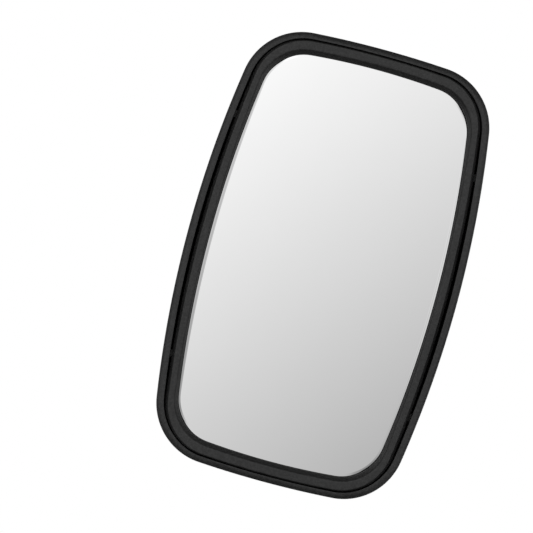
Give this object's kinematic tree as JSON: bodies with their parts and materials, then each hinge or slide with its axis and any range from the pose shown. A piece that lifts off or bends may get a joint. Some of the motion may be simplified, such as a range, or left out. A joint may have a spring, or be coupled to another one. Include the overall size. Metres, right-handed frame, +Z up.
{
  "type": "side mirror head",
  "caption": "Clamp-on vehicle side mirror head: convex glass in a framed deep shell, with a round clamp in its back that grips the arm tube.",
  "frame": {"origin": "on the arm tube's axis, level with the middle of the round clamp disc", "axes": "+Z up along the arm tube, -Y towards the glass side, +Y towards the clamp disc, +X to the right seen from the glass side"},
  "size_m": [0.1862, 0.062, 0.2996],
  "materials": {
    "shell_plastic": "fine grained black moulding",
    "ring_plastic": "satin black moulding",
    "disc_plastic": "satin black glass-filled moulding",
    "inner_plastic": "black glass-filled moulding",
    "slide_plastic": "natural slide plastic",
    "mirror_coat": "silvered convex glass",
    "seal_rubber": "matte black rubber",
    "liner_rubber": "ribbed black rubber",
    "film_plastic": "grey adhesive film",
    "foam": "closed-cell foam",
    "screw_steel": "black oxide steel",
    "washer_steel": "zinc plated steel"
  },
  "bodies": {
    "clamp_core": {"inner_jaw": "inner_plastic", "grip_liner_inner": "liner_rubber", "clamp_nuts": "washer_steel", "nut_retainer": "washer_steel", "swivel_washer": "slide_plastic"},
    "outer_jaw": {"clamp_disc": "disc_plastic", "grip_liner_outer": "liner_rubber", "disc_seal": "seal_rubber", "screw_washers": "washer_steel", "lock_washers": "washer_steel"},
    "screw_left": {"clamp_screw_left": "screw_steel"},
    "screw_right": {"clamp_screw_right": "screw_steel"},
    "head": {"rear_shell": "shell_plastic", "front_ring": "ring_plastic", "mirror_glass": "mirror_coat", "glass_seal": "seal_rubber", "shatter_film": "film_plastic", "foam_pads": "foam", "carrier_plate": "inner_plastic", "entry_grommet": "seal_rubber"}
  },
  "joints": [
    {"name": "head_swivel", "type": "hinge", "parent": "clamp_core", "child": "head", "pos_m": [0, 0, 0], "axis": [0, 1, 0], "range_deg": [-8, 8]},
    {"name": "jaw_release", "type": "slide", "parent": "clamp_core", "child": "outer_jaw", "axis": [0, 1, 0], "range_m": [0, 0.002]},
    {"name": "screw_left_turn", "type": "hinge", "parent": "outer_jaw", "child": "screw_left", "pos_m": [-0.016, 0, 0], "axis": [0, 1, 0], "range_deg": [0, 720]},
    {"name": "screw_right_turn", "type": "hinge", "parent": "outer_jaw", "child": "screw_right", "pos_m": [0.016, 0, 0], "axis": [0, 1, 0], "range_deg": [0, 720]}
  ],
  "couplings": [
    {"joint": "screw_left_turn", "follows": "jaw_release", "rad_per_m": 6283.2},
    {"joint": "screw_right_turn", "follows": "jaw_release", "rad_per_m": 6283.2}
  ]
}
